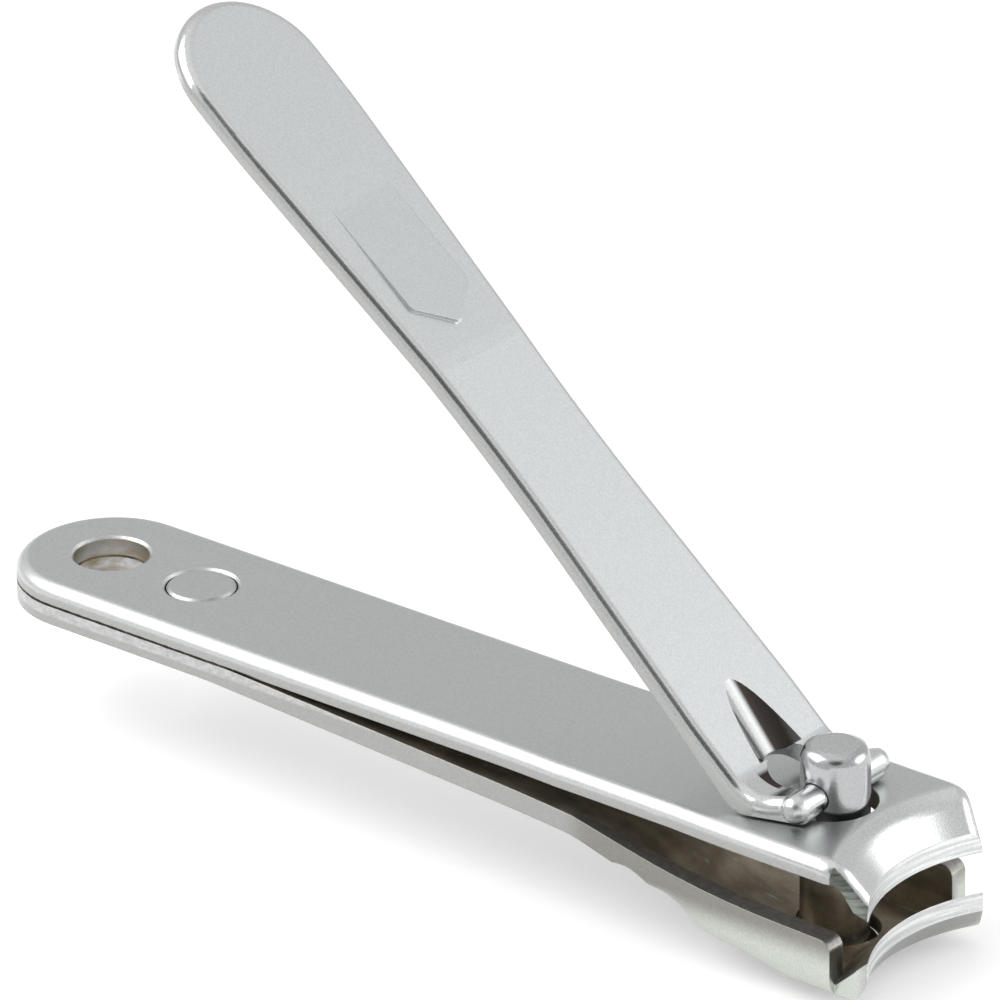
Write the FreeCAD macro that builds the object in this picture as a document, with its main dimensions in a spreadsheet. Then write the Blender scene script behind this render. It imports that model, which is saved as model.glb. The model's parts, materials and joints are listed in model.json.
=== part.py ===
"""Compound-lever toenail clipper: two spring-steel jaws joined at the tail, a post through their
front ends and a lever that hooks under the head of the post.

Frame, in millimetres: the origin is on the axis of the key-ring hole, in the plane where the two
jaws touch. +X points to the cutting edges, +Z is up, and the object is symmetric about y = 0.
"""
import FreeCAD, Part
import Sketcher
import math
import os

SIZES = {
    # tail, shared by both jaws
    "tail_half_width": 6.8,
    "ring_hole_radius": 2.73,
    "rivet_x": 8.4,
    "rivet_radius": 2.5,
    "rivet_play": 0.1,
    "rivet_seat": 0.01,
    "part_line_x": 14.7,
    "flare_start_x": 44.0,
    "flare_end_x": 59.0,
    "flare_blend_radius": 150.0,
    "plate_bend_radius": 30.0,
    "trim_margin": 5.0,
    # bite: a concave arc in plan, shared by both lips
    "bite_x": 70.35,
    "bite_radius": 12.6,
    # upper jaw
    "upper_thickness": 1.5,
    "upper_front_half_width": 7.8,
    "upper_rise": 0.4,
    "joggle_start_x": 46.0,
    "joggle_end_x": 56.0,
    "upper_lip_root": 3.35,
    "upper_lip_depth": 6.0,
    "lip_axis_half": 10.0,
    "lip_overrun": 0.3,
    "rim_chamfer": 0.2,
    "grind_overrun": 1.5,
    "upper_edge_drop": 2.18,
    "upper_face_height": 1.59,
    "upper_outer_run": 1.95,
    "upper_outer_round": 2.5,
    "upper_inner_run": 2.07,
    "upper_inner_round": 0.8,
    "upper_bevel_run": 1.0,
    "upper_bevel_rise": 0.63,
    "upper_edge_half": 6.45,
    "side_grind_relief": 2.6695,
    "side_grind_round": 1.5,
    "upper_hole_x": 64.1,
    "upper_hole_radius": 3.3,
    "upper_edge_round": 1.05,
    # lower jaw
    "lower_thickness": 1.5,
    "lower_front_half_width": 7.65,
    "spread_angle": 3.07,
    "step_x": 47.3,
    "step_mid_x": 53.0,
    "step_mid_depth": 4.55,
    "tray_heel_x": 58.0,
    "tray_heel_depth": 7.1,
    "tray_flat_x": 65.6,
    "tray_depth": 8.6,
    "tray_floor": 1.1,
    "tray_wall": 1.5,
    "wall_mid_x": 58.8,
    "wall_mid_depth": 3.7,
    "wall_crown_radius": 100.0,
    "tray_bend_radius": 6.0,
    "wall_end_x": 69.8,
    "wall_end_depth": 4.0,
    "wall_nose_round": 0.8,
    "fold_start_x": 51.0,
    "fold_full_x": 58.5,
    "fold_round_start": 0.1,
    "fold_round": 1.9,
    "lower_lip_overlap": 2.8,
    "lower_lip_depth": 4.2,
    "lower_grind_x": 71.4,
    "lower_grind_round": 0.5,
    "lower_edge_depth": 5.25,
    "lower_face_height": 1.4,
    "lower_outer_run": 0.8,
    "lower_outer_round": 2.0,
    "lower_inner_run": 2.33,
    "lower_inner_round": 0.7,
    "lower_bevel_run": 0.7,
    "lower_bevel_rise": 0.55,
    "lower_edge_half": 6.48,
    "lower_lip_half": 7.0,
    "lower_hole_x": 64.85,
    "lower_hole_radius": 2.9,
    # post
    "post_x": 64.5,
    "post_radius": 2.4,
    "post_top": 6.3,
    "post_flat_radius": 1.5,
    "crown_mid_radius": 2.12,
    "crown_mid_drop": 0.27,
    "crown_drop": 0.95,
    "post_flat_lead": 0.15,
    "notch_foot": 0.8,
    "foot_radius": 3.3,
    "foot_rim": 0.3,
    "foot_cone_top": 8.0,
    # lever
    "pivot_height": 3.12,
    "pivot_radius": 1.0,
    "pivot_play": 0.06,
    "pivot_half_length": 5.4,
    "pin_end_radius": 0.5,
    "pin_end_rise": 0.14,
    "pin_neck_radius": 0.87,
    "pin_neck_rise": 0.5,
    "heel_gap": 0.12,
    "heel_reach": 3.584,
    "heel_radius": 2.365,
    "lever_angle": 41.3,
    "heel_lift": 0.4,
    "heel_taper_angle": 4.0,
    "lever_thickness": 1.2,
    "arm_front": 0.95,
    "arm_rise": 0.8,
    "arm_nose_round": 0.85,
    "arm_sole_round": 0.6,
    "arm_blend_radius": 3.5,
    "lever_bend_at": 38.8,
    "lever_bend_angle": 1.9,
    "lever_tail_at": 63.16,
    "lever_tail_radius": 6.15,
    "lever_flare_at": 58.6,
    "lever_flare_round": 60.0,
    "lever_waist_at": 32.3,
    "lever_waist_half": 4.63,
    "lever_waist_round": 160.0,
    "lever_shoulder_at": 8.5,
    "lever_shoulder_half": 5.6,
    "lever_shoulder_round": 30.0,
    "arm_corner_at": 1.8,
    "arm_corner_half": 5.55,
    "arm_corner_round": 1.5,
    "arm_tip_lead": 2.0,
    "arm_tip_half": 4.0,
    "window_half": 2.75,
    "window_rear": 4.65,
    "dent_apex_at": 10.3,
    "dent_slope": 9.3,
    "dent_radius": 3.2,
    "dent_length": 6.0,
    "rest_tip_at": 40.8,
    "rest_shoulder_at": 43.2,
    "rest_end_at": 55.0,
    "rest_half": 3.1,
    "rest_height": 0.3,
    "rest_fade_angle": 1.55,
    "rest_root": 0.5,
    "rest_corner_round": 0.6,
    "lever_edge_round": 0.85,
}

# upright axis of the bite, depth of the lower jaw's back at the tray, and the angle of both lips
AXIS_X = "({bite_x} + {bite_radius})"
STEP_DEPTH = "(({step_x} - {part_line_x}) * tan({spread_angle} * 1deg))"
LIP_SWEEP = "2 * asin(({upper_front_half_width} + {lip_overrun}) / {bite_radius})"
THROUGH = {"Type": "ThroughAll", "SideType": "Symmetric"}
# how far inside the metal a probe lies, how near counts as touching, and how steep is upright
RIM_PROBE = 0.02
TOUCH = 0.001
UPRIGHT = 0.9

doc = FreeCAD.newDocument("nail_clipper")
sheet = doc.addObject("Spreadsheet::Sheet", "dims")
for row, (alias, size) in enumerate(SIZES.items(), start=1):
    sheet.set("A%d" % row, alias)
    sheet.set("B%d" % row, str(size))
    sheet.setAlias("B%d" % row, alias)
doc.recompute()


def named(text):
    """Turn names in braces into references to the sheet."""
    return text.replace("{", "dims.").replace("}", "")


def number(text):
    """Value of an expression written with names in braces."""
    found = sheet.evalExpression(named(text))
    return float(getattr(found, "Value", found))


def new_body(label):
    body = doc.addObject("PartDesign::Body", label)
    body.Label = label
    return body


def origin_plane(body, role):
    return next(item for item in body.Origin.OriginFeatures if item.Role == role)


def new_sketch(body, name, role, offset=None):
    sketch = body.newObject("Sketcher::SketchObject", name)
    sketch.AttachmentSupport = [(origin_plane(body, role), "")]
    sketch.MapMode = "FlatFace"
    if offset is not None:
        sketch.AttachmentOffset = offset
    return sketch


def bind(sketch, constraint, text):
    """Add a dimension and tie it to the sheet."""
    index = sketch.addConstraint(constraint)
    sketch.setExpression("Constraints[%d]" % index, named(text))


def pin(sketch, geometry, vertex, place):
    """Tie a point of the sketch to a pair of expressions."""
    for kind, text in zip(("DistanceX", "DistanceY"), place):
        bind(sketch, Sketcher.Constraint(kind, -1, 1, geometry, vertex, number(text)), text)


def vector(place):
    return FreeCAD.Vector(number(place[0]), number(place[1]), 0)


def outline(sketch, corners):
    """Closed outline. A corner is (x, y) or (x, y, rounding). After a corner, ("arc", x, y, turn)
    makes the next stretch an arc about (x, y), turn being "ccw" or "cw"."""
    places = [corner for corner in corners if corner[0] != "arc"]
    arcs = {}
    for corner in corners:
        if corner[0] == "arc":
            arcs[passed - 1] = corner[1:]
        else:
            passed = places.index(corner) + 1
    size = len(places)
    points = [vector(place) for place in places]
    leave = list(points)
    arrive = list(points)
    rounds = {}
    for index, place in enumerate(places):
        if len(place) == 3:
            back = (points[index - 1] - points[index]).normalize()
            ahead = (points[(index + 1) % size] - points[index]).normalize()
            half = back.getAngle(ahead) / 2
            radius = number(place[2])
            arrive[index] = points[index] + back * (radius / math.tan(half))
            leave[index] = points[index] + ahead * (radius / math.tan(half))
            centre = points[index] + (back + ahead).normalize() * (radius / math.sin(half))
            rounds[index] = (centre, radius, back.cross(ahead).z < 0)
    edges = []
    for index in range(size):
        start = leave[index]
        end = arrive[(index + 1) % size]
        if index in arcs:
            edges.append(add_arc(sketch, vector(arcs[index]), start, end, arcs[index][2] == "ccw"))
            pin(sketch, edges[-1][0], 3, arcs[index])
        else:
            edges.append((sketch.addGeometry(Part.LineSegment(start, end)), 1, 2))
    for index, place in enumerate(places):
        before = edges[index - 1]
        after = edges[index]
        if index in rounds:
            centre, radius, left_turn = rounds[index]
            arc = add_arc(sketch, centre, arrive[index], leave[index], left_turn)
            sketch.addConstraint(Sketcher.Constraint("Tangent", before[0], before[2], *arc[:2]))
            sketch.addConstraint(Sketcher.Constraint("Tangent", after[0], after[1], arc[0], arc[2]))
            bind(sketch, Sketcher.Constraint("Radius", arc[0], radius), place[2])
            corner = sketch.addGeometry(Part.Point(points[index]), True)
            pin(sketch, corner, 1, place[:2])
            sketch.addConstraint(Sketcher.Constraint("PointOnObject", corner, 1, before[0]))
            sketch.addConstraint(Sketcher.Constraint("PointOnObject", corner, 1, after[0]))
            continue
        sketch.addConstraint(
            Sketcher.Constraint("Coincident", before[0], before[2], after[0], after[1]))
        if (index - 1) % size in arcs:
            pin_arc_end(sketch, after, points[index] - vector(arcs[(index - 1) % size]), place)
        else:
            pin(sketch, after[0], after[1], place)


def add_arc(sketch, centre, start, end, left_turn):
    """Arc from start to end. Returns it with the numbers of its first and last vertex."""
    first, last = (start, end) if left_turn else (end, start)
    spans = [math.atan2(spot.y - centre.y, spot.x - centre.x) for spot in (first, last)]
    ring = Part.Circle(centre, FreeCAD.Vector(0, 0, 1), (start - centre).Length)
    arc = sketch.addGeometry(Part.ArcOfCircle(ring, spans[0], spans[1]))
    return (arc, 1, 2) if left_turn else (arc, 2, 1)


def pin_arc_end(sketch, edge, spoke, place):
    """Fix where an arc ends, along its tangent only, since its radius is already set."""
    kind, text = ("DistanceY", place[1]) if abs(spoke.x) > abs(spoke.y) else ("DistanceX", place[0])
    bind(sketch, Sketcher.Constraint(kind, -1, 1, edge[0], edge[1], number(text)), text)


def circle(sketch, x, y, radius):
    ring = Part.Circle(vector((x, y)), FreeCAD.Vector(0, 0, 1), number(radius))
    geometry = sketch.addGeometry(ring)
    bind(sketch, Sketcher.Constraint("Radius", geometry, number(radius)), radius)
    pin(sketch, geometry, 3, (x, y))


def turning_axis(sketch, start, end):
    """Construction line that a revolved section turns about, added first as Axis0."""
    line = sketch.addGeometry(Part.LineSegment(vector(start), vector(end)), True)
    pin(sketch, line, 1, start)
    pin(sketch, line, 2, end)


def feature(body, kind, name, sketch, **options):
    """Feature on a sketch. Options that are text are bound to the sheet."""
    made = body.newObject("PartDesign::" + kind, name)
    made.Profile = (sketch, [""])
    for key, option in options.items():
        if isinstance(option, str) and option.startswith("="):
            made.setExpression(key, named(option[1:]))
        else:
            setattr(made, key, option)
    doc.recompute()
    return made


def turned(body, kind, name, sketch, sweep="360"):
    """Revolution or groove about the sketch's own axis, as far to one side of it as the other."""
    made = body.newObject("PartDesign::" + kind, name)
    made.Profile = (sketch, [""])
    made.ReferenceAxis = (sketch, ["Axis0"])
    made.Midplane = sweep != "360"
    made.setExpression("Angle", named(sweep))
    doc.recompute()
    return made


def middle_of(edge):
    return edge.valueAt((edge.FirstParameter + edge.LastParameter) / 2)


def is_upright(edge):
    return abs(edge.tangentAt((edge.FirstParameter + edge.LastParameter) / 2).z) > UPRIGHT


def chosen_edges(shape, test):
    """Numbers and edges of the shape whose middle point passes the test."""
    return [(index, edge) for index, edge in enumerate(shape.Edges, start=1)
            if test(edge, middle_of(edge))]


def eased(body, kind, name, size, test):
    """Fillet or chamfer on the edges of the body's tip that pass the test."""
    base = body.Tip
    names = ["Edge%d" % index for index, edge in chosen_edges(base.Shape, test)]
    made = body.newObject("PartDesign::" + kind, name)
    made.Base = (base, names)
    made.setExpression("Radius" if kind == "Fillet" else "Size", named(size))
    doc.recompute()
    return made


def boolean(kind, name, base, tool):
    made = doc.addObject("Part::" + kind, name)
    made.Base = base
    made.Tool = tool
    made.Refine = True
    doc.recompute()
    return made


def along_rim(shape, edge, middle, inward):
    """Whether an edge runs along a jaw's outline in plan, with the metal on the side that
    inward (1 up, -1 down) points to."""
    if math.hypot(min(middle.x, 0), middle.y) < number("{tail_half_width}") - RIM_PROBE:
        return False
    if is_upright(edge):
        return False
    inner = FreeCAD.Vector(middle.x, middle.y, 0) * (1 - RIM_PROBE)
    if middle.x > 0:
        inner.x = middle.x
    inner.z = middle.z + inward * RIM_PROBE
    outer = FreeCAD.Vector(inner.x, inner.y, middle.z - inward * RIM_PROBE)
    return shape.isInside(inner, TOUCH, True) and not shape.isInside(outer, TOUCH, True)


def plan_trim(body, name, half_width, tip):
    """Cut a jaw to its outline seen from above. The tip is the list of corners of the front
    end on the far side, from the flare forwards."""
    sketch = new_sketch(body, name + "_plan", "XY_Plane")
    tail = "{tail_half_width}"
    side = [("{flare_start_x}", tail, "{flare_blend_radius}"),
            ("{flare_end_x}", half_width, "{flare_blend_radius}")] + tip
    near = [(place[0], "-(" + place[1] + ")") + place[2:] for place in side]
    outline(sketch, [("0", tail), ("arc", "0", "0", "ccw"), ("0", "-" + tail)] + near + side[::-1])
    reach = "({bite_x} + {trim_margin})"
    wide = "({bite_radius} + {upper_lip_depth} + {trim_margin})"
    back = "(-{tail_half_width} - {trim_margin})"
    outline(sketch, [(back, "-" + wide), (reach, "-" + wide), (reach, wide), (back, wide)])
    return feature(body, "Pocket", name, sketch, **THROUGH)


def bored(body, name, x, radius):
    sketch = new_sketch(body, name + "_circle", "XY_Plane")
    circle(sketch, x, "0", radius)
    return feature(body, "Pocket", name, sketch, **THROUGH)


def edge_point(half):
    """x of the cutting edge at a distance from the middle plane."""
    return "(" + AXIS_X + " - sqrt({bite_radius}^2 - " + half + "^2))"


def upper_jaw():
    """Upper jaw: a flat plate that rises slightly ahead of the middle, and a lip turned down at
    its front, whose sides are ground nearly square to the cutting edge."""
    body = new_body("upper_jaw")
    thickness = "{upper_thickness}"
    level = "({upper_thickness} + {upper_rise})"
    plate = new_sketch(body, "upper_side", "XZ_Plane")
    back = "(-{tail_half_width} - {trim_margin})"
    front = "({bite_x} - {upper_lip_root})"
    outline(plate, [
        (back, "0"), ("{joggle_start_x}", "0"), ("{joggle_end_x}", "{upper_rise}"),
        (front, "{upper_rise}"), (front, level), ("{joggle_end_x}", level),
        ("{joggle_start_x}", thickness), (back, thickness)])
    width = "=2 * ({upper_front_half_width} + {trim_margin} / 2)"
    feature(body, "Pad", "upper_plate", plate, SideType="Symmetric", Length=width)
    lip = new_sketch(body, "upper_lip_section", "XZ_Plane")
    turning_axis(lip, (AXIS_X, "-{lip_axis_half}"), (AXIS_X, "{lip_axis_half}"))
    edge = "-{upper_edge_drop}"
    root = "({bite_x} - {upper_lip_depth})"
    outline(lip, [
        ("{bite_x}", edge), ("{bite_x}", edge + " + {upper_face_height}"),
        ("{bite_x} - {upper_outer_run}", level, "{upper_outer_round}"), (root, level),
        (root, "{upper_rise}"),
        ("{bite_x} - {upper_inner_run}", "{upper_rise}", "{upper_inner_round}"),
        ("{bite_x} - {upper_bevel_run}", edge + " + {upper_bevel_rise}")])
    turned(body, "Revolution", "upper_lip", lip, LIP_SWEEP)
    half = "{upper_edge_half}"
    fall = "({upper_front_half_width} - {upper_edge_half})"
    run = "(" + fall + " / tan(asin(" + half + " / {bite_radius}) - {side_grind_relief} * 1deg))"
    corner = "(" + edge_point(half) + " - " + run + ")"
    plan_trim(body, "upper_trim", "{upper_front_half_width}", [
        (corner, "{upper_front_half_width}", "{side_grind_round}"),
        (edge_point(half) + " + {grind_overrun} * " + run, half + " - {grind_overrun} * " + fall)])
    bored(body, "upper_ring_hole", "0", "{ring_hole_radius}")
    bored(body, "upper_rivet_hole", "{rivet_x}", "({rivet_radius} + {rivet_play})")
    bored(body, "upper_post_hole", "{upper_hole_x}", "{upper_hole_radius}")
    eased(body, "Fillet", "upper_edges", "{upper_edge_round}", lambda edge, middle: (
        middle.x < number(corner) and along_rim(body.Tip.Shape, edge, middle, -1)))
    top = number("{upper_thickness}")
    eased(body, "Chamfer", "upper_rims", "{rim_chamfer}", lambda edge, middle: (
        isinstance(edge.Curve, Part.Circle) and abs(edge.Curve.Center.z - top) < RIM_PROBE
        and abs(edge.Curve.Center.y) < RIM_PROBE and edge.Closed))
    return body


def lower_strip():
    """The lower jaw's solid form in side view and in plan: tail, bends and tray."""
    body = new_body("lower_strip")
    thickness = "{lower_thickness}"
    bend = "{tray_bend_radius}"
    back = "(-{tail_half_width} - {trim_margin})"
    block = new_sketch(body, "strip_side", "XZ_Plane")
    outline(block, [
        (back, "-" + thickness), ("{part_line_x}", "-" + thickness, "{plate_bend_radius}"),
        ("{step_x}", "-" + STEP_DEPTH + " - " + thickness, bend),
        ("{step_mid_x}", "-{step_mid_depth}", bend), ("{tray_heel_x}", "-{tray_heel_depth}", bend),
        ("{tray_flat_x}", "-{tray_depth}", bend), ("{wall_end_x}", "-{tray_depth}"),
        ("{wall_end_x}", "-{wall_end_depth}", "{wall_nose_round}"),
        ("{wall_mid_x}", "-{wall_mid_depth}", "{wall_crown_radius}"),
        ("{step_x}", "-" + STEP_DEPTH), ("{part_line_x}", "0", "{plate_bend_radius}"), (back, "0")])
    width = "=2 * ({lower_front_half_width} + {trim_margin} / 2)"
    feature(body, "Pad", "strip_block", block, SideType="Symmetric", Length=width)
    plan_trim(body, "strip_trim", "{lower_front_half_width}", [
        ("{wall_end_x} + {trim_margin} / 2", "{lower_front_half_width}")])
    return body


def fold_radius(spot):
    """Radius of the tray's fold at a place: it grows forwards out of the strip's sharp edge."""
    start = number("{fold_start_x}")
    share = (spot.x - start) / (number("{fold_full_x}") - start)
    sharp = number("{fold_round_start}")
    return sharp + (number("{fold_round}") - sharp) * min(max(share, 0), 1)


def tray():
    """The lower jaw without its lip: the strip with its tray's lower edges folded and its inside
    pressed out."""
    strip = lower_strip()
    front = doc.addObject("Part::Box", "fold_region")
    wide = "({lower_front_half_width} + {trim_margin})"
    for key, text in (("Length", "{bite_x}"), ("Width", "2 * " + wide),
                      ("Height", "2 * {lip_axis_half}"), ("Placement.Base.x", "{fold_start_x}"),
                      ("Placement.Base.y", "-" + wide), ("Placement.Base.z", "-{lip_axis_half}")):
        front.setExpression(key, named(text))
    doc.recompute()
    rear = boolean("Cut", "strip_rear", strip, front)
    ahead = boolean("Common", "strip_front", strip, front)
    folds = doc.addObject("Part::Fillet", "tray_folds")
    folds.Base = ahead
    folds.Edges = [
        (index, fold_radius(edge.valueAt(edge.FirstParameter)),
         fold_radius(edge.valueAt(edge.LastParameter)))
        for index, edge in chosen_edges(ahead.Shape, lambda edge, middle: (
            middle.x < number("{wall_end_x}") and along_rim(ahead.Shape, edge, middle, 1)))]
    doc.recompute()
    return boolean("Cut", "tray", boolean("Fuse", "folded_strip", rear, folds), tray_space())


def tray_space():
    """The room inside the tray, open towards the lip."""
    body = new_body("tray_space")
    bend = "{tray_bend_radius}"
    inside = new_sketch(body, "inside_side", "XZ_Plane")
    beyond = "({wall_end_x} + {trim_margin})"
    floor_top = "-({tray_depth} - {tray_floor})"
    outline(inside, [
        ("{step_x}", "-" + STEP_DEPTH), ("{step_mid_x}", "{lower_thickness} - {step_mid_depth}", bend),
        ("{tray_heel_x}", "-({tray_heel_depth} - {tray_floor})", bend),
        ("{tray_flat_x}", floor_top, bend), (beyond, floor_top), (beyond, "{tray_depth}"),
        ("{step_x}", "{tray_depth}")])
    inner = "({lower_front_half_width} - {tray_wall})"
    feature(body, "Pad", "tray_inside", inside, SideType="Symmetric", Length="=2 * " + inner)
    mouth = new_sketch(body, "mouth_plan", "XY_Plane")
    radius = "({bite_radius} + {lower_lip_overlap})"
    start = "(" + AXIS_X + " - sqrt(" + radius + "^2 - " + inner + "^2))"
    outline(mouth, [(start, inner), ("arc", AXIS_X, "0", "ccw"), (start, "-" + inner),
                    (beyond, "-" + inner), (beyond, inner)])
    feature(body, "Pad", "tray_mouth", mouth, SideType="Symmetric", Length="=2 * {lip_axis_half}")
    return body


def lower_lip():
    """Lip of the lower jaw: its section turned about the same upright axis as the upper lip."""
    body = new_body("lower_lip")
    lip = new_sketch(body, "lower_lip_section", "XZ_Plane")
    turning_axis(lip, (AXIS_X, "-{lip_axis_half}"), (AXIS_X, "{lip_axis_half}"))
    edge = "-{lower_edge_depth}"
    root = "({bite_x} - {lower_lip_depth})"
    floor_top = "-({tray_depth} - {tray_floor})"
    outline(lip, [
        ("{bite_x}", edge), ("{bite_x} - {lower_bevel_run}", edge + " - {lower_bevel_rise}"),
        ("{bite_x} - {lower_inner_run}", floor_top, "{lower_inner_round}"), (root, floor_top),
        (root, "-{tray_depth}"),
        ("{bite_x} - {lower_outer_run}", "-{tray_depth}", "{lower_outer_round}"),
        ("{bite_x}", edge + " - {lower_face_height}")])
    turned(body, "Revolution", "lower_lip_ring", lip, LIP_SWEEP)
    trim = new_sketch(body, "lower_lip_plan", "XY_Plane")
    seat = "({lower_front_half_width} - {tray_wall})"
    half = "{lower_edge_half}"
    run = "(" + edge_point(half) + " - {lower_grind_x})"
    fall = "({lower_lip_half} - {lower_edge_half})"
    side = [("{wall_end_x}", seat), ("{wall_end_x}", "{lower_lip_half}"),
            ("{lower_grind_x}", "{lower_lip_half}", "{lower_grind_round}"),
            (edge_point(half) + " + {grind_overrun} * " + run,
             half + " - {grind_overrun} * " + fall)]
    rear = ("{wall_end_x} - {trim_margin}", seat)
    near = [(place[0], "-(" + place[1] + ")") + place[2:] for place in [rear] + side]
    outline(trim, near + side[::-1] + [rear])
    wide = "({bite_radius} + {lower_lip_depth} + {trim_margin})"
    reach = "({bite_x} + {trim_margin})"
    back = "({wall_end_x} - 2 * {trim_margin})"
    outline(trim, [(back, "-" + wide), (reach, "-" + wide), (reach, wide), (back, wide)])
    feature(body, "Pocket", "lower_lip_trim", trim, **THROUGH)
    fold = new_sketch(body, "lip_fold", "YZ_Plane")
    flat = "({lower_front_half_width} - {fold_round})"
    spring = "({fold_round} - {tray_depth})"
    low = "(-{tray_depth} - {trim_margin})"
    out = "({lower_front_half_width} + {trim_margin})"
    for side, turn in (("", "ccw"), ("-", "cw")):
        outline(fold, [(side + flat, "-{tray_depth}"), ("arc", side + flat, spring, turn),
                       (side + "{lower_front_half_width}", spring), (side + out, spring),
                       (side + out, low), (side + flat, low)])
    feature(body, "Pocket", "lower_lip_folds", fold, **THROUGH)
    return body


def lower_jaw():
    """Lower jaw: the folded tray with its lip, drilled right through."""
    blank = boolean("Fuse", "lower_blank", tray(), lower_lip())
    holes = []
    for name, x, radius in (("lower_ring_hole", "0", "{ring_hole_radius}"),
                            ("lower_rivet_hole", "{rivet_x}", "({rivet_radius} + {rivet_seat})"),
                            ("lower_post_hole", "{lower_hole_x}", "{lower_hole_radius}")):
        hole = doc.addObject("Part::Cylinder", name)
        hole.setExpression("Radius", named(radius))
        hole.setExpression("Height", named("2 * {lip_axis_half}"))
        hole.setExpression("Placement.Base.x", named(x))
        hole.setExpression("Placement.Base.z", named("-{lip_axis_half}"))
        holes.append(hole)
    drills = doc.addObject("Part::MultiFuse", "lower_drills")
    drills.Shapes = holes
    doc.recompute()
    return boolean("Cut", "lower_jaw", blank, drills)


def tail_rivet():
    """Rivet that holds the two jaws' tails together."""
    body = new_body("tail_rivet")
    sketch = new_sketch(body, "rivet_circle", "XY_Plane")
    circle(sketch, "{rivet_x}", "0", "{rivet_radius}")
    length = "=2 * {lower_thickness}"
    feature(body, "Pad", "rivet_shank", sketch, SideType="Symmetric", Length=length)
    eased(body, "Chamfer", "rivet_rims", "{rim_chamfer}", lambda edge, middle: edge.Closed)
    return body


def post():
    """Post with a domed head, a foot under the tray and a notch that hooks over the lever's bar.
    Its own frame has the post's axis upright through its origin, at the height of the jaws'
    meeting plane."""
    body = new_body("post")
    section = new_sketch(body, "post_section", "XZ_Plane")
    turning_axis(section, ("0", "-{lip_axis_half}"), ("0", "{lip_axis_half}"))
    top = "{post_top}"
    foot = "({foot_radius} - {post_radius})"
    foot_base = "-({foot_cone_top} + " + foot + " + {foot_rim})"
    outline(section, [
        ("0", top), ("0", foot_base), ("{foot_radius}", foot_base),
        ("{foot_radius}", foot_base + " + {foot_rim}"), ("{post_radius}", "-{foot_cone_top}"),
        ("{post_radius}", top + " - {crown_drop}"),
        ("{crown_mid_radius}", top + " - {crown_mid_drop}"), ("{post_flat_radius}", top)])
    turned(body, "Revolution", "post_stem", section)
    notch = new_sketch(body, "notch_side", "XZ_Plane")
    radius = "({pivot_radius} + {pivot_play})"
    flat = "{post_flat_lead}"
    height = "{pivot_height}"
    low = "(" + height + " - sqrt(" + radius + "^2 - " + flat + "^2))"
    rear = "-(2 * {post_radius})"
    outline(notch, [
        (rear, "{notch_foot}"), (flat, "{notch_foot}"), (flat, low), ("arc", "0", height, "ccw"),
        ("-" + radius, height), (rear, height)])
    width = "=4 * {post_radius}"
    feature(body, "Pocket", "notch", notch, SideType="Symmetric", Length=width)
    body.setExpression("Placement.Base.x", named("{post_x}"))
    doc.recompute()
    return body


def on_lever_rim(shape, edge, middle):
    """Whether an edge runs along the top of the lever's outline, behind the arms' tips."""
    if middle.x > -number("{arm_corner_at}") / 2 or is_upright(edge):
        return False
    centre = FreeCAD.Vector(max(middle.x, -number("{lever_tail_at}")), 0, middle.z)
    if (centre - middle).Length < RIM_PROBE:
        return False
    across = (centre - middle).normalize() * RIM_PROBE
    below = FreeCAD.Vector(0, 0, -RIM_PROBE)
    return (shape.isInside(middle + across + below, TOUCH, True)
            and not shape.isInside(middle + across - below, TOUCH, True)
            and not shape.isInside(middle - across + below, TOUCH, True))


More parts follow.
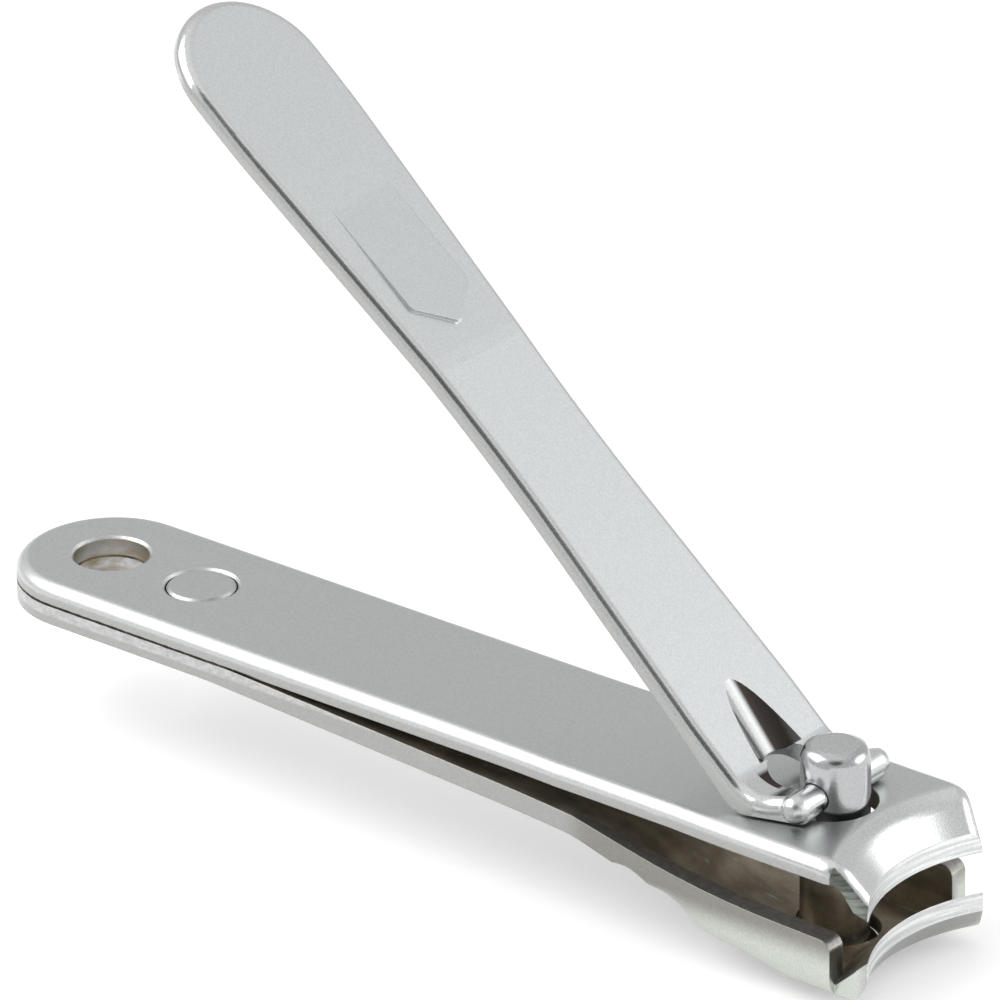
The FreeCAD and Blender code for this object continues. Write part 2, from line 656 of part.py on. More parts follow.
def lever():
    """Lever. Its own frame has the crossbar's axis through its origin, +X forwards along the ramp
    and +Z square to the ramp, and the whole is then tipped up by the lever's angle."""
    body = new_body("lever")
    turn = "({lever_angle} * 1deg)"
    under = "({pivot_height} - {upper_thickness} - {upper_rise} - {heel_gap})"
    over = "({lever_thickness} - " + under + ")"
    thickness = "{lever_thickness}"

    def tipped(x, z):
        """A place given level and upright from the crossbar, in the ramp's own directions."""
        return ("((%s) * cos(%s) - (%s) * sin(%s))" % (x, turn, z, turn),
                "((%s) * sin(%s) + (%s) * cos(%s))" % (x, turn, z, turn))

    side = new_sketch(body, "lever_side", "XZ_Plane")
    centre = tipped("-{heel_reach}", "{heel_radius} - " + under)
    base = "(" + centre[1] + " - {heel_radius})"
    lifted = "(" + base + " + {heel_lift})"
    face = "(" + lifted + " + " + thickness + ")"
    lean = "({heel_taper_angle} * 1deg)"
    heel_end = ("(" + centre[0] + " - {heel_radius} * sin(" + lean + "))",
                "(" + centre[1] + " - {heel_radius} * cos(" + lean + "))")
    taper = "((" + lifted + " - " + heel_end[1] + ") / tan(" + lean + "))"
    bend = "tan({lever_bend_angle} * 1deg)"
    end = "({lever_tail_at} + {lever_tail_radius} + {trim_margin})"
    sag = "((" + end + " - {lever_bend_at}) * " + bend + ")"
    front_low = tipped("{arm_front}", "-" + under) + ("{arm_sole_round}",)
    front_high = tipped("{arm_front}", "{arm_rise}")
    inner = "((" + over + " - " + face + " * cos(" + turn + ")) / sin(" + turn + "))"
    outline(side, [
        front_low, tipped("-{heel_reach}", "-" + under), ("arc",) + centre + ("cw",),
        heel_end, (heel_end[0] + " - " + taper, lifted, "{plate_bend_radius}"),
        ("-{lever_bend_at}", lifted, "{plate_bend_radius}"), ("-" + end, lifted + " - " + sag),
        ("-" + end, face + " - " + sag),
        ("-{lever_bend_at}", face, "{plate_bend_radius}"), ("-" + inner, face, "{arm_blend_radius}"),
        front_high])
    width = "=2 * {lever_tail_radius} + {trim_margin}"
    feature(body, "Pad", "lever_strip", side, SideType="Symmetric", Length=width)
    trim = new_sketch(body, "lever_plan", "XY_Plane")
    tail = "{lever_tail_radius}"
    outer = [("-{lever_flare_at}", tail, "{lever_flare_round}"),
             ("-{lever_waist_at}", "{lever_waist_half}", "{lever_waist_round}"),
             ("-{lever_shoulder_at}", "{lever_shoulder_half}", "{lever_shoulder_round}"),
             ("-{arm_corner_at}", "{arm_corner_half}", "{arm_corner_round}"),
             ("{arm_tip_lead}", "{arm_tip_half}")]
    near = [(place[0], "-" + place[1]) + place[2:] for place in outer]
    outline(trim, [("-{lever_tail_at}", tail), ("arc", "-{lever_tail_at}", "0", "ccw"),
                   ("-{lever_tail_at}", "-" + tail)] + near + outer[::-1])
    wide = "(" + tail + " + {trim_margin})"
    rear = "(-" + end + " - {trim_margin})"
    outline(trim, [(rear, "-" + wide), (wide, "-" + wide), (wide, wide), (rear, wide)])
    feature(body, "Pocket", "lever_trim", trim, **THROUGH)
    eased(body, "Fillet", "lever_edges", "{lever_edge_round}", lambda edge, middle: (
        on_lever_rim(body.Tip.Shape, edge, middle)))
    nose = new_sketch(body, "nose_side", "XZ_Plane")
    crest = "({arm_front} - {arm_nose_round})"
    brow = "({arm_rise} - {arm_nose_round})"
    ahead = "({arm_front} + {trim_margin})"
    above = "({arm_rise} + {trim_margin})"
    outline(nose, [
        tipped(crest, "{arm_rise}"), ("arc",) + tipped(crest, brow) + ("cw",),
        tipped("{arm_front}", brow), tipped(ahead, brow), tipped(ahead, above),
        tipped(crest, above)])
    feature(body, "Pocket", "nose", nose, **THROUGH)
    window = new_sketch(body, "window_plan", "XY_Plane")
    half = "{window_half}"
    middle_x = "({window_half} - {window_rear})"
    outline(window, [(wide, half), (middle_x, half), ("arc", middle_x, "0", "ccw"),
                     (middle_x, "-" + half), (wide, "-" + half)])
    feature(body, "Pocket", "window", window, **THROUGH)
    dent = new_sketch(body, "dent_section", "XZ_Plane")
    fall = "({dent_slope} * 1deg)"
    apex = ("-{dent_apex_at}", face)
    mouth = (apex[0] + " + {dent_length} * cos(" + fall + ")",
             apex[1] + " - {dent_length} * sin(" + fall + ")")
    rise = ("{dent_radius} * sin(" + fall + ")", "{dent_radius} * cos(" + fall + ")")
    roof = [(place[0] + " + " + rise[0], place[1] + " + " + rise[1]) for place in (apex, mouth)]
    turning_axis(dent, *roof)
    outline(dent, [apex, mouth, roof[1], roof[0]])
    turned(body, "Groove", "dent", dent)
    bar = new_sketch(body, "crossbar_half", "XY_Plane")
    radius = "{pivot_radius}"
    stop = "{pivot_half_length}"
    turning_axis(bar, ("0", "-" + stop), ("0", stop))
    far_end = [(radius, "(" + stop + " - " + radius + ")"),
               ("{pin_neck_radius}", "(" + stop + " - {pin_neck_rise})"),
               ("{pin_end_radius}", "(" + stop + " - {pin_end_rise})"), ("0", stop)]
    near_end = [(x, "-" + y) for x, y in far_end]
    outline(bar, near_end[::-1] + far_end)
    turned(body, "Revolution", "crossbar", bar)
    rest = new_sketch(body, "thumb_rest_plan", "XY_Plane")
    tilt = "({lever_bend_angle} + {rest_fade_angle})"
    rest.AttachmentOffset = FreeCAD.Placement(
        FreeCAD.Vector(), FreeCAD.Rotation(FreeCAD.Vector(0, -1, 0), number(tilt)))
    crest = face + " - ({rest_tip_at} - {lever_bend_at}) * " + bend + " + {rest_height}"
    rest.setExpression("AttachmentOffset.Base.x", named("-{rest_tip_at}"))
    rest.setExpression("AttachmentOffset.Base.z", named(crest))
    rest.setExpression("AttachmentOffset.Rotation.Angle", named(tilt))
    shoulder = "({rest_tip_at} - {rest_shoulder_at})"
    tail_end = "({rest_tip_at} - {rest_end_at})"
    outline(rest, [
        ("0", "0", "{rest_corner_round}"), (shoulder, "{rest_half}", "{rest_corner_round}"),
        (tail_end, "{rest_half}"), (tail_end, "-{rest_half}"),
        (shoulder, "-{rest_half}", "{rest_corner_round}")])
    deep = "={rest_height} + {rest_root}"
    feature(body, "Pad", "thumb_rest", rest, Length=deep, Reversed=True)
    body.Placement = FreeCAD.Placement(
        FreeCAD.Vector(), FreeCAD.Rotation(FreeCAD.Vector(0, 1, 0), number("{lever_angle}")))
    body.setExpression("Placement.Base.x", named("{post_x}"))
    body.setExpression("Placement.Base.z", named("{pivot_height}"))
    body.setExpression("Placement.Rotation.Angle", named("{lever_angle}"))
    doc.recompute()
    return body


def checked(pieces):
    """Stop unless every object was made and every piece is one sound solid."""
    for item in doc.Objects:
        if "Invalid" in item.State or "Error" in item.State:
            raise ValueError(item.Name + " failed: " + item.getStatusString())
    for piece in pieces:
        if piece.Shape.isNull() or not piece.Shape.isValid() or len(piece.Shape.Solids) != 1:
            raise ValueError(piece.Label + " is not one valid solid")
    return pieces


PIECES = checked([lower_jaw(), tail_rivet(), upper_jaw(), post(), lever()])
os.makedirs("parts", exist_ok=True)
for piece in PIECES:
    piece.Shape.exportStep("parts/" + piece.Label + ".step")
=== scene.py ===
"""Looks, camera and light for a compound-lever toenail clipper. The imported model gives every
shape, and this script gives the steel its finishes, place by place.

Places are in millimetres of the model. Most finishes set in over a span, which is a pair of
values: the finish is absent at the first and full at the second."""
import bpy
import json
import math
from collections import namedtuple
from mathutils import Matrix, Vector


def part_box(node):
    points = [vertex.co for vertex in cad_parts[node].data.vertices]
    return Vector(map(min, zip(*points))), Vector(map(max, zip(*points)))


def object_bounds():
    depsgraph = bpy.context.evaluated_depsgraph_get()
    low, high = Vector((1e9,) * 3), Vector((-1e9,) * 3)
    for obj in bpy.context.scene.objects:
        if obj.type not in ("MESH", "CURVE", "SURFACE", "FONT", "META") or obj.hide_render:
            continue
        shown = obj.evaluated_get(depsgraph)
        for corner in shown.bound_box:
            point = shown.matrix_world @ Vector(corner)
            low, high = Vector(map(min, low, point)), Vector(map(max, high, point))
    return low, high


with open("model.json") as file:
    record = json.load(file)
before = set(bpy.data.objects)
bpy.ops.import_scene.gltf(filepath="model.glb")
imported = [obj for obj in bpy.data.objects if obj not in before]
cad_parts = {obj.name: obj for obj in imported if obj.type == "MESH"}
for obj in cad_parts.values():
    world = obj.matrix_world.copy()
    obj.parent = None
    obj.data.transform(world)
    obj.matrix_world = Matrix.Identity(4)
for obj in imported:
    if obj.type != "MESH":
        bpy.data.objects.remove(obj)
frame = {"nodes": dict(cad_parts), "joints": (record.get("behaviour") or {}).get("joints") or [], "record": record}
cad_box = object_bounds()

MILLIMETRES = 1000
UP = Vector((0, 0, 1))
ACROSS = Vector((0, 1, 0))

# Camera: the photograph's, recovered from the object's own round holes and symmetric pairs
CAMERA_PLACE = (0.419615, -0.472099, 0.303988)
CAMERA_AZIMUTH = 39.121
CAMERA_ELEVATION = 25.326
CAMERA_ROLL = -0.613
CAMERA_LENS = 354.29
CAMERA_SENSOR = 36
CAMERA_RANGE = (0.01, 20)

# Floor: half its side and its gap under the part, in metres, and the glow that makes it white
FLOOR_HALF = 6.0
FLOOR_GAP = 0.0002
FLOOR_COLOUR = (0.8, 0.8, 0.8)
FLOOR_ROUGHNESS = 0.9
FLOOR_GLOW = 0.3

# Light tent: a grey dome with soft panels. A panel is full inside one angle from its direction
# and gone outside the other, in degrees. A negative gain makes it a dark panel.
TENT_LEVEL = 0.8
Panel = namedtuple("Panel", "towards inner outer gain")
TENT_PANELS = (
    Panel((0.72, 0.64, 0.26), 14, 30, 2.0),
    Panel((-0.2, -0.2, 0.95), 20, 60, 0.3),
    Panel((0.45, -0.60, 0.66), 12, 26, -0.72),
)

# Key light: place, target and size in metres, power in watts
KEY_PLACE = (-0.32, -0.26, 0.42)
KEY_TARGET = (0.03, 0, 0)
KEY_SIZE = (0.6, 0.5)
KEY_POWER = 2.0

# Smooth shading of the post: corners nearer than this are joined, in metres, and edges that turn
# by less than this stay smooth, in degrees
WELD = 0.000001
SMOOTH_LIMIT = 50

# Radii that edges look rounded by, in metres
SOFTNESS = 0.0001
PIN_SOFTNESS = 0.0004

# Height of the relief, in millimetres, and the grain's share of it. The grain tints the steel by
# its speckle either way, and broad clouds darken it to a share and change its roughness.
RELIEF = 0.004
GRAIN_RELIEF = 0.5
SPECKLE = 0.06
CLOUD_DARK = 0.93
CLOUD_ROUGHNESS = 0.03

# Finishes: linear colour, roughness, and the share of the colour that a pattern's low parts keep
Finish = namedtuple("Finish", "colour roughness low", defaults=(1.0,))
BRIGHT = (0.60, 0.61, 0.61)
# Darker steel as painted shade on sides and undersides, for the darker surroundings that they reflect
PAINTED_SIDE_SHADE = (0.40, 0.405, 0.395)
# Near black, for the painted shade in the jaws' seam and the painted dark reflection on the lever's dent
PAINTED_SHADE_BLACK = (0.045, 0.038, 0.034)
LEVER_COLOUR = (0.60, 0.62, 0.62)
SATIN = Finish((0.47, 0.49, 0.485), 0.36)
UPPER_EDGES = Finish(BRIGHT, 0.36)
UPPER_LIP = Finish(BRIGHT, 0.22)
UPPER_SIDE_SHADE = Finish(PAINTED_SIDE_SHADE, 0.36)
SIDE_GROUND = Finish((0.25, 0.275, 0.245), 0.4, 0.4)
GROUND = Finish((0.84, 0.85, 0.85), 0.38, 0.7)
# The lower jaw's base is the darker steel of painted shade
LOWER_JAW = Finish(PAINTED_SIDE_SHADE, 0.3)
SHEARED = Finish((0.56, 0.565, 0.56), 0.42, 0.8)
RIM = Finish((0.33, 0.32, 0.31), 0.5, 0.75)
# Painted shade along the joint where the jaws' tails meet
SEAM_SHADE = Finish(PAINTED_SHADE_BLACK, 0.6)
STAIN = Finish((0.36, 0.29, 0.20), 0.55)
POST = Finish((0.46, 0.465, 0.47), 0.18)
POST_HEAD = Finish((0.50, 0.51, 0.51), 0.5, 0.85)
LEVER_EDGES = Finish(BRIGHT, 0.13)
LEVER_TOP = Finish(LEVER_COLOUR, 0.34)
LEVER_SIDE_SHADE = Finish(PAINTED_SIDE_SHADE, 0.34)
LEVER_UNDER_SHADE = Finish(PAINTED_SIDE_SHADE, 0.3)
REST_WALL = Finish(LEVER_COLOUR, 0.5)
# Painted dark reflection on the lever dent's flank
DENT_DARK_REFLECTION = Finish(PAINTED_SHADE_BLACK, 0.4)

# Colours that are mixed, and the roughness that goes with them
RAW_LIGHT = (0.52, 0.47, 0.385)
RAW_DARK = (0.27, 0.235, 0.19)
RAW_ROUGHNESS = 0.5
POST_RAW_ROUGHNESS = 0.4
# Painted shading on the tray's outer wall: light low down, dark towards its top
TRAY_PAINTED_LIGHT = (0.58, 0.61, 0.56)
TRAY_PAINTED_SHADE = (0.27, 0.265, 0.24)
TRAY_ROUGHNESS = 0.26

# Noise patterns: scale, detail, how each axis is scaled first, and the span that sharpens them.
# A small number for an axis draws the pattern out along it.
Noise = namedtuple("Noise", "scale detail axes span", defaults=((1, 1, 1), None))
CLOUD = Noise(0.16, 3.0)
GRAIN = Noise(7.0, 2.0, span=(0.3, 0.7))
TORN = Noise(3.2, 4.0, (0.6, 1.0, 1.0), (0.3, 0.7))
BLOTCHES = Noise(0.55, 6.0, (0.5, 1.0, 1.0), (0.3, 0.75))
RUBS = Noise(1.4, 4.0, (0.1, 1.2, 1.2), (0.62, 0.75))
GROUND_LINES = Noise(1.2, 4.0, (0.15, 0.15, 3.0), (0.35, 0.65))
SIDE_LINES = Noise(1.2, 4.0, (0.3, 0.3, 3.5), (0.35, 0.65))
BLOOM = Noise(0.9, 4.0, (0.5, 0.5, 1.6), (0.35, 0.75))
SEAM_NOISE = Noise(1.6, 4.0)
POST_NOISE = Noise(0.8, 3.0)

# Places on the jaws. The edge of the seam's painted shade is a height above or below the seam, past what its wave
# adds.
BITE_X = 70.35
BITE_RADIUS = 12.6
UPPER_LIP_X = (64.0, 66.0)
SIDE_GRIND_X = (69.75, 69.85)
STRIP_X = (46.0, 44.0)
TRAY_X = (46.0, 49.0)
# Heights over which the tray wall's painted shading goes from light to dark
TRAY_PAINTED_SHADE_Z = (-6.2, -4.2)
SHEARED_Z = (-0.95, -0.75)
SEAM_X = (20.0, 18.0)
SEAM_EDGE = (0.06, 0.018)
SEAM_WAVE = 0.12

# Distances from a ground or drilled wall, and from the lower jaw's outline, negative inside it
ON_WALL = (0.06, 0.03)
TRAY_OUTSIDE = (-1.5, -0.5)
TRAY_RIM = (-1.6, -1.5)
TRAY_INSIDE = (-1.4, -1.45)

# Places on the post: heights, and the head's flat as a distance from its top
POST_RAW_Z = (0.6, -0.4)
FOOT_Z = (-8.4, -8.0)
HEAD_TOP = (-0.1, -0.05)

# Places on the lever, at rest. Its top is tipped up by this angle, in degrees.
LEVER_ANGLE = 41.3
LEVER_SIDES = (3.4, 3.6)
REST_SIDES = (3.4, 3.2)
REST_X = (37.0, 36.0)
DENT_SIDES = (3.3, 3.2)
DENT_REAR_X = (52.0, 53.0)
DENT_FRONT_X = (62.4, 62.0)
PIN_RADIUS = 1.0
ON_PIN = (0.1, 0.05)
PIN_ENDS = (4.0, 4.1)

# Cosines between the way a face looks and the way a finish is on
FLAT = (0.95, 0.995)
HEAD_FLAT = (0.9, 0.97)
SQUARE_ON = (0.9, 0.98)
REST_FACING = (0.7, 0.9)
GRIND_FACING = (0.4, 0.5)
DOWNWARD = (0.3, 0.6)
UPWARD = (0.3, 0.5)
DENT_TILT = (0.995, 0.97)
DENT_OPEN = (0.1, 0.3)
DENT_MIDDLE = (-0.2, 0.0)
DENT_FLANK = (0.9, 0.5)

# Cosines between a wall's face and straight up, which are small on an upright wall
UPRIGHT = (0.3, 0.15)
UPPER_UPRIGHT = (0.3, 0.1)
GROUND_UPRIGHT = (0.3, 0.2)


def make_camera():
    azimuth = math.radians(CAMERA_AZIMUTH)
    elevation = math.radians(CAMERA_ELEVATION)
    roll = math.radians(CAMERA_ROLL)
    back = Vector((math.sin(azimuth) * math.cos(elevation),
                   -math.cos(azimuth) * math.cos(elevation), math.sin(elevation)))
    right = Vector((math.cos(azimuth), math.sin(azimuth), 0))
    up = back.cross(right)
    axes = Matrix((right * math.cos(roll) + up * math.sin(roll),
                   up * math.cos(roll) - right * math.sin(roll), back)).transposed()
    data = bpy.data.cameras.new("camera")
    data.lens = CAMERA_LENS
    data.sensor_width = CAMERA_SENSOR
    data.clip_start, data.clip_end = CAMERA_RANGE
    camera = bpy.data.objects.new("camera", data)
    camera.matrix_world = Matrix.Translation(CAMERA_PLACE) @ axes.to_4x4()
    bpy.context.scene.collection.objects.link(camera)
    bpy.context.scene.camera = camera


def darker(colour, share):
    return tuple(share * part for part in colour)


class Graph:
    """Short ways to build a node tree. Values are numbers or output sockets."""

    def __init__(self, tree):
        self.tree = tree

    def node(self, kind, **settings):
        made = self.tree.nodes.new("ShaderNode" + kind)
        for key, setting in settings.items():
            setattr(made, key, setting)
        return made

    def feed(self, socket, value):
        if isinstance(value, bpy.types.NodeSocket):
            self.tree.links.new(value, socket)
        else:
            socket.default_value = value

    def math(self, operation, *values):
        made = self.node("Math", operation=operation)
        for socket, value in zip(made.inputs, values):
            self.feed(socket, value)
        return made.outputs["Value"]

    def dot(self, vector, direction):
        made = self.node("VectorMath", operation="DOT_PRODUCT")
        self.feed(made.inputs[0], vector)
        made.inputs[1].default_value = direction
        return made.outputs["Value"]

    def scaled(self, vector, scale):
        made = self.node("VectorMath", operation="MULTIPLY")
        self.feed(made.inputs[0], vector)
        made.inputs[1].default_value = scale
        return made.outputs["Vector"]

    def distance(self, first, second):
        """How far a place is from an axis, from its offsets in the two directions across it."""
        squares = [self.math("MULTIPLY", offset, offset) for offset in (first, second)]
        return self.math("SQRT", self.math("ADD", *squares))

    def step(self, value, span):
        """Smooth step from 0 at the span's first value to 1 at its second."""
        made = self.node("MapRange", interpolation_type="SMOOTHSTEP")
        self.feed(made.inputs["Value"], value)
        for key, edge in zip(("From Min", "From Max"), span):
            made.inputs[key].default_value = edge
        return made.outputs["Result"]

    def both(self, *masks):
        """Where every mask is set."""
        result = masks[0]
        for mask in masks[1:]:
            result = self.math("MULTIPLY", result, mask)
        return result

    def either(self, *masks):
        """Where any mask is set."""
        result = masks[0]
        for mask in masks[1:]:
            result = self.math("MAXIMUM", result, mask)
        return result

    def blend(self, factor, first, second):
        """A colour that goes from the first to the second as the factor goes from 0 to 1."""
        made = self.node("Mix", data_type="RGBA")
        self.feed(made.inputs[0], factor)
        for socket, value in zip(made.inputs[6:8], (first, second)):
            self.feed(socket, value if isinstance(value, bpy.types.NodeSocket) else (*value, 1))
        return made.outputs[2]

    def between(self, factor, first, second):
        """A number that goes from the first to the second as the factor goes from 0 to 1."""
        made = self.node("Mix", data_type="FLOAT")
        for socket, value in zip((made.inputs[0], *made.inputs[2:4]), (factor, first, second)):
            self.feed(socket, value)
        return made.outputs[0]


class Steel(Graph):
    """Steel whose finish changes from place to place. Each zone covers what came before it.

    side is the distance from the middle plane. level is 1 on a level face and 0 on an upright one,
    and sideways is 1 on a face that looks along Y."""

    def __init__(self, name, finish):
        self.material = bpy.data.materials.new(name)
        self.material.use_nodes = True
        super().__init__(self.material.node_tree)
        coordinates = self.node("TexCoord")
        self.place = self.scaled(coordinates.outputs["Object"], (MILLIMETRES,) * 3)
        self.normal = coordinates.outputs["Normal"]
        split = self.node("SeparateXYZ")
        self.feed(split.inputs[0], self.place)
        self.x, self.y, self.z = split.outputs
        self.side = self.math("ABSOLUTE", self.y)
        self.sideways = self.math("ABSOLUTE", self.dot(self.normal, ACROSS))
        self.level = self.math("ABSOLUTE", self.dot(self.normal, UP))
        self.grain = self.pattern(GRAIN)
        cloud = self.pattern(CLOUD)
        self.colour = self.blend(cloud, darker(finish.colour, CLOUD_DARK), finish.colour)
        self.roughness = self.between(cloud, finish.roughness - CLOUD_ROUGHNESS,
                                      finish.roughness + CLOUD_ROUGHNESS)
        self.height = self.math("MULTIPLY", self.grain, GRAIN_RELIEF)

    def pattern(self, noise):
        """Noise over the part, sharpened to a mask where it has a span."""
        made = self.node("TexNoise")
        self.feed(made.inputs["Vector"], self.scaled(self.place, noise.axes))
        made.inputs["Scale"].default_value = noise.scale
        made.inputs["Detail"].default_value = noise.detail
        strength = made.outputs["Fac"]
        return self.step(strength, noise.span) if noise.span else strength

    def facing(self, direction, span):
        """Mask of the faces that look a certain way."""
        return self.step(self.dot(self.normal, direction), span)

    def zone(self, mask, finish, pattern=None):
        """Cover the masked places. A pattern sets both the shade of the finish and its relief."""
        colour = finish.colour
        if pattern is not None:
            colour = self.blend(pattern, darker(colour, finish.low), colour)
            self.height = self.between(mask, self.height, pattern)
        self.colour = self.blend(mask, self.colour, colour)
        self.roughness = self.between(mask, self.roughness, finish.roughness)

    def finished(self, softness=SOFTNESS):
        """Join the zones to the shader. Edges look rounded by the softness."""
        shader = self.tree.nodes["Principled BSDF"]
        shader.inputs["Metallic"].default_value = 1
        tint = self.node("VectorMath", operation="SCALE")
        self.feed(tint.inputs[0], self.colour)
        self.feed(tint.inputs["Scale"], self.between(self.grain, 1 - SPECKLE, 1 + SPECKLE))
        self.feed(shader.inputs["Base Color"], tint.outputs["Vector"])
        self.feed(shader.inputs["Roughness"], self.roughness)
        soft = self.node("Bevel", samples=4)
        self.feed(soft.inputs["Radius"], softness)
        bump = self.node("Bump")
        bump.inputs["Distance"].default_value = RELIEF / MILLIMETRES
        self.feed(bump.inputs["Height"], self.height)
        self.feed(bump.inputs["Normal"], soft.outputs["Normal"])
        self.feed(shader.inputs["Normal"], bump.outputs["Normal"])
        return self.material


def raw_metal(steel, roughness):
    """Brown, unpolished steel of the jaws' insides, with pale rubs."""
    brown = steel.blend(steel.pattern(BLOTCHES), RAW_DARK, RAW_LIGHT)
    return Finish(steel.blend(steel.pattern(RUBS), brown, SHEARED.colour), roughness)


def grind_bite(steel):
    """Grind the concave cutting face, with lines that run along the edge."""
    from_middle = steel.distance(steel.math("SUBTRACT", steel.x, BITE_X + BITE_RADIUS), steel.y)
    on_face = steel.step(steel.math("SUBTRACT", from_middle, BITE_RADIUS), ON_WALL)
    face = steel.both(on_face, steel.step(steel.level, GROUND_UPRIGHT))
    steel.zone(face, GROUND, steel.pattern(GROUND_LINES))


def stain_ring_hole(steel):
    """Rusty bloom on the wall of the key-ring hole."""
    from_wall = steel.math("SUBTRACT", steel.distance(steel.x, steel.y), ring_hole_radius())
    steel.zone(steel.both(steel.step(from_wall, ON_WALL), steel.pattern(BLOOM)), STAIN)


def ring_hole_radius():
    holes = [mount for mount in frame["record"]["mounts"] if mount["name"] == "ring_hole"]
    return holes[0]["dims"]["r_mm"]


def paint_seam_shade(steel):
    """Painted shade: a dark, ragged line where the jaws' tails meet, for the shade in the joint between them."""
    ragged = steel.math("MULTIPLY", steel.pattern(SEAM_NOISE), SEAM_WAVE)
    from_seam = steel.math("SUBTRACT", steel.math("ABSOLUTE", steel.z), ragged)
    steel.zone(steel.both(steel.step(steel.x, SEAM_X), steel.step(from_seam, SEAM_EDGE)), SEAM_SHADE)


def upper_steel():
    steel = Steel("upper_jaw_steel", UPPER_EDGES)
    steel.zone(steel.step(steel.x, UPPER_LIP_X), UPPER_LIP)
    steel.zone(steel.facing(UP, FLAT), SATIN)
    # Painted shade: the upright sides are darker steel
    steel.zone(steel.step(steel.level, UPPER_UPRIGHT), UPPER_SIDE_SHADE)
    paint_seam_shade(steel)
    steel.zone(steel.facing(-UP, DOWNWARD), raw_metal(steel, RAW_ROUGHNESS))
    stain_ring_hole(steel)
    skewed = steel.both(steel.step(steel.x, SIDE_GRIND_X), steel.step(steel.sideways, GRIND_FACING))
    steel.zone(skewed, SIDE_GROUND, steel.pattern(SIDE_LINES))
    grind_bite(steel)
    return steel.finished()


def lower_steel():
    steel = Steel("lower_jaw_steel", LOWER_JAW)
    half_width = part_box("lower_jaw")[1].y * MILLIMETRES
    from_outline = steel.math("SUBTRACT", steel.side, half_width)
    upright = steel.step(steel.level, UPRIGHT)
    upward = steel.facing(UP, UPWARD)
    in_tray = steel.step(steel.x, TRAY_X)
    outside = steel.both(in_tray, steel.step(from_outline, TRAY_OUTSIDE))
    # Painted shading: the outer wall goes from light at its bottom to dark at its top
    painted_shading = steel.blend(steel.step(steel.z, TRAY_PAINTED_SHADE_Z), TRAY_PAINTED_LIGHT, TRAY_PAINTED_SHADE)
    steel.zone(outside, Finish(painted_shading, TRAY_ROUGHNESS))
    torn = steel.pattern(TORN)
    strip = steel.both(upright, steel.step(steel.x, STRIP_X), steel.step(steel.z, SHEARED_Z))
    steel.zone(strip, SHEARED, torn)
    paint_seam_shade(steel)
    inward = steel.both(upright, in_tray, steel.step(from_outline, TRAY_INSIDE))
    steel.zone(steel.either(upward, inward), raw_metal(steel, RAW_ROUGHNESS))
    steel.zone(steel.both(upward, in_tray, steel.step(from_outline, TRAY_RIM)), RIM, torn)
    stain_ring_hole(steel)
    grind_bite(steel)
    return steel.finished()


def rivet_steel():
    return Steel("rivet_steel", SATIN).finished()


def post_steel():
    """Polished steel, raw inside the clipper, with a dull flat on the head."""
    steel = Steel("post_steel", POST)
    ragged = steel.math("ADD", steel.z, steel.pattern(POST_NOISE))
    inside = steel.both(steel.step(ragged, POST_RAW_Z), steel.step(steel.z, FOOT_Z))
    steel.zone(inside, raw_metal(steel, POST_RAW_ROUGHNESS))
    from_top = steel.math("SUBTRACT", steel.z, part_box("post")[1].z * MILLIMETRES)
    flat = steel.both(steel.facing(UP, HEAD_FLAT), steel.step(from_top, HEAD_TOP))
    steel.zone(flat, POST_HEAD, steel.grain)
    return steel.finished()


def lever_steel():
    steel = Steel("lever_steel", LEVER_EDGES)
    angle = math.radians(LEVER_ANGLE)
    top = Vector((math.sin(angle), 0, math.cos(angle)))
    # Painted shade: the underside and the sides are darker steel than the top
    steel.zone(steel.facing(-top, SQUARE_ON), LEVER_UNDER_SHADE)
    steel.zone(steel.facing(top, FLAT), LEVER_TOP)
    sides = steel.both(steel.step(steel.sideways, SQUARE_ON), steel.step(steel.side, LEVER_SIDES))
    steel.zone(sides, LEVER_SIDE_SHADE)
    steel.zone(steel.both(steel.step(steel.sideways, REST_FACING), steel.step(steel.side, REST_SIDES),
                          steel.step(steel.x, REST_X)), REST_WALL)
    # Painted dark reflection on the dent's flank
    steel.zone(dent_flank(steel, top), DENT_DARK_REFLECTION)
    return steel.finished(lever_softness(steel))


def dent_flank(steel, top):
    """Mask of the dent's flank that looks towards -Y, where a dark reflection is painted."""
    inside = steel.both(steel.step(steel.side, DENT_SIDES), steel.step(steel.x, DENT_REAR_X),
                        steel.step(steel.x, DENT_FRONT_X))
    sunk = steel.both(steel.facing(top, DENT_TILT), steel.facing(top, DENT_OPEN))
    flank = steel.both(steel.facing(-ACROSS, DENT_MIDDLE), steel.facing(-ACROSS, DENT_FLANK))
    return steel.both(inside, sunk, flank)


def lever_softness(steel):
    """How far the lever's edges are softened, in metres: more on the crossbar's round ends."""
    pivots = [joint["pos_m"] for joint in frame["joints"] if joint["name"] == "lever_press"]
    pin_x, _, pin_z = Vector(pivots[0]) * MILLIMETRES
    from_axis = steel.distance(steel.math("SUBTRACT", steel.x, pin_x),
                               steel.math("SUBTRACT", steel.z, pin_z))
    on_pin = steel.step(steel.math("SUBTRACT", from_axis, PIN_RADIUS), ON_PIN)
    ends = steel.both(on_pin, steel.step(steel.side, PIN_ENDS))
    return steel.between(ends, SOFTNESS, PIN_SOFTNESS)


def dress(node, material):
    piece = frame["nodes"][node]
    piece.data.materials.clear()
    piece.data.materials.append(material)


def shade_smoothly(node):
    """Shade a piece's facets as one round surface, and keep its flats flat."""
    piece = frame["nodes"][node]
    piece.data.attributes.remove(piece.data.attributes["custom_normal"])
    piece.modifiers.new("smoothing", "NODES").node_group = smoothing_tree()
    piece.modifiers.new("flats", "WEIGHTED_NORMAL").keep_sharp = True


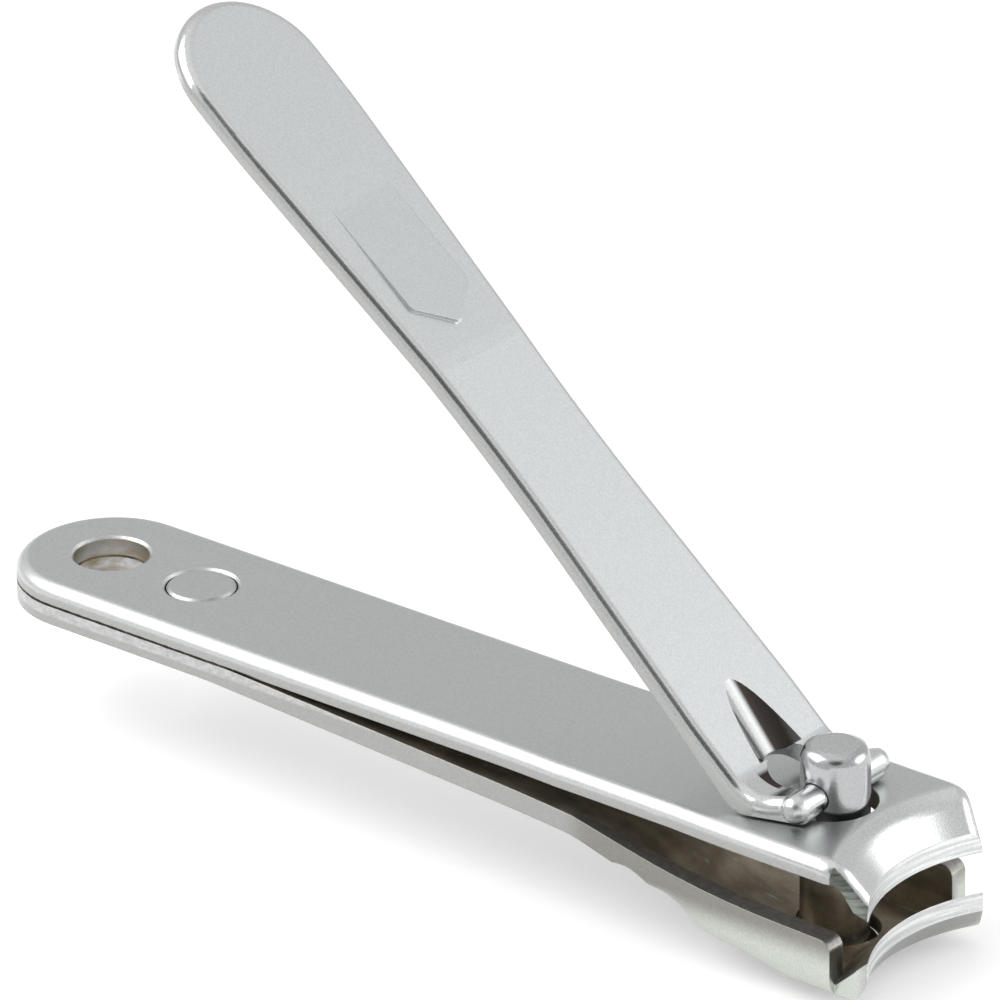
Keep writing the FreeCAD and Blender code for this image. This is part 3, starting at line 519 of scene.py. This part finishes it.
def smoothing_tree():
    """Modifier tree that joins the facets' corners and shades smoothly over gentle edges."""
    tree = bpy.data.node_groups.new("smoothing", "GeometryNodeTree")
    tree.interface.new_socket("Geometry", in_out="INPUT", socket_type="NodeSocketGeometry")
    tree.interface.new_socket("Geometry", in_out="OUTPUT", socket_type="NodeSocketGeometry")
    start = tree.nodes.new("NodeGroupInput")
    joined = tree.nodes.new("GeometryNodeMergeByDistance")
    joined.inputs["Distance"].default_value = WELD
    faces = tree.nodes.new("GeometryNodeSetShadeSmooth")
    angle = tree.nodes.new("GeometryNodeInputMeshEdgeAngle")
    gentle = tree.nodes.new("FunctionNodeCompare")
    gentle.operation = "LESS_THAN"
    gentle.inputs["B"].default_value = math.radians(SMOOTH_LIMIT)
    edges = tree.nodes.new("GeometryNodeSetShadeSmooth")
    edges.domain = "EDGE"
    end = tree.nodes.new("NodeGroupOutput")
    for source, target in ((start.outputs[0], joined.inputs["Geometry"]),
                           (joined.outputs["Geometry"], faces.inputs["Geometry"]),
                           (faces.outputs["Geometry"], edges.inputs["Geometry"]),
                           (angle.outputs["Unsigned Angle"], gentle.inputs["A"]),
                           (gentle.outputs["Result"], edges.inputs["Shade Smooth"]),
                           (edges.outputs["Geometry"], end.inputs[0])):
        tree.links.new(source, target)
    return tree


def make_floor():
    """Pale floor just below the part, which takes the part's shadow."""
    height = cad_box[0].z - FLOOR_GAP
    corners = [(x * FLOOR_HALF, y * FLOOR_HALF, height)
               for x, y in ((-1, -1), (1, -1), (1, 1), (-1, 1))]
    mesh = bpy.data.meshes.new("floor")
    mesh.from_pydata(corners, [], [(0, 1, 2, 3)])
    mesh.materials.append(floor_material())
    floor = bpy.data.objects.new("floor", mesh)
    bpy.context.scene.collection.objects.link(floor)


def floor_material():
    """Matt pale grey that glows enough to be white where the camera or the steel sees it."""
    material = bpy.data.materials.new("floor")
    material.use_nodes = True
    graph = Graph(material.node_tree)
    rays = graph.node("LightPath").outputs
    seen = graph.either(rays["Is Camera Ray"], rays["Is Glossy Ray"], rays["Is Transmission Ray"])
    shader = material.node_tree.nodes["Principled BSDF"]
    shader.inputs["Base Color"].default_value = (*FLOOR_COLOUR, 1)
    shader.inputs["Roughness"].default_value = FLOOR_ROUGHNESS
    shader.inputs["Specular IOR Level"].default_value = 0
    shader.inputs["Emission Color"].default_value = (1, 1, 1, 1)
    graph.feed(shader.inputs["Emission Strength"], graph.math("MULTIPLY", seen, FLOOR_GLOW))
    return material


def make_tent():
    """World that stands for a studio light tent, which the steel reflects."""
    world = bpy.data.worlds.new("tent")
    bpy.context.scene.world = world
    world.use_nodes = True
    graph = Graph(world.node_tree)
    direction = graph.node("TexCoord").outputs["Generated"]
    level = TENT_LEVEL
    for panel in TENT_PANELS:
        nearness = graph.dot(direction, Vector(panel.towards).normalized())
        edges = [math.cos(math.radians(angle)) for angle in (panel.outer, panel.inner)]
        patch = graph.step(nearness, edges)
        level = graph.math("ADD", graph.math("MULTIPLY", patch, panel.gain), level)
    background = world.node_tree.nodes["Background"]
    background.inputs["Color"].default_value = (1, 1, 1, 1)
    graph.feed(background.inputs["Strength"], level)


def make_key_light():
    data = bpy.data.lights.new("key", "AREA")
    data.shape = "RECTANGLE"
    data.size, data.size_y = KEY_SIZE
    data.energy = KEY_POWER
    light = bpy.data.objects.new("key", data)
    light.location = KEY_PLACE
    light.rotation_mode = "QUATERNION"
    light.rotation_quaternion = (Vector(KEY_TARGET) - Vector(KEY_PLACE)).to_track_quat("-Z", "Y")
    bpy.context.scene.collection.objects.link(light)


make_camera()
make_floor()
make_tent()
make_key_light()
dress("upper_jaw", upper_steel())
dress("lower_jaw", lower_steel())
dress("tail_rivet", rivet_steel())
dress("post", post_steel())
dress("lever", lever_steel())
shade_smoothly("post")
bpy.context.scene.view_settings.view_transform = "Standard"
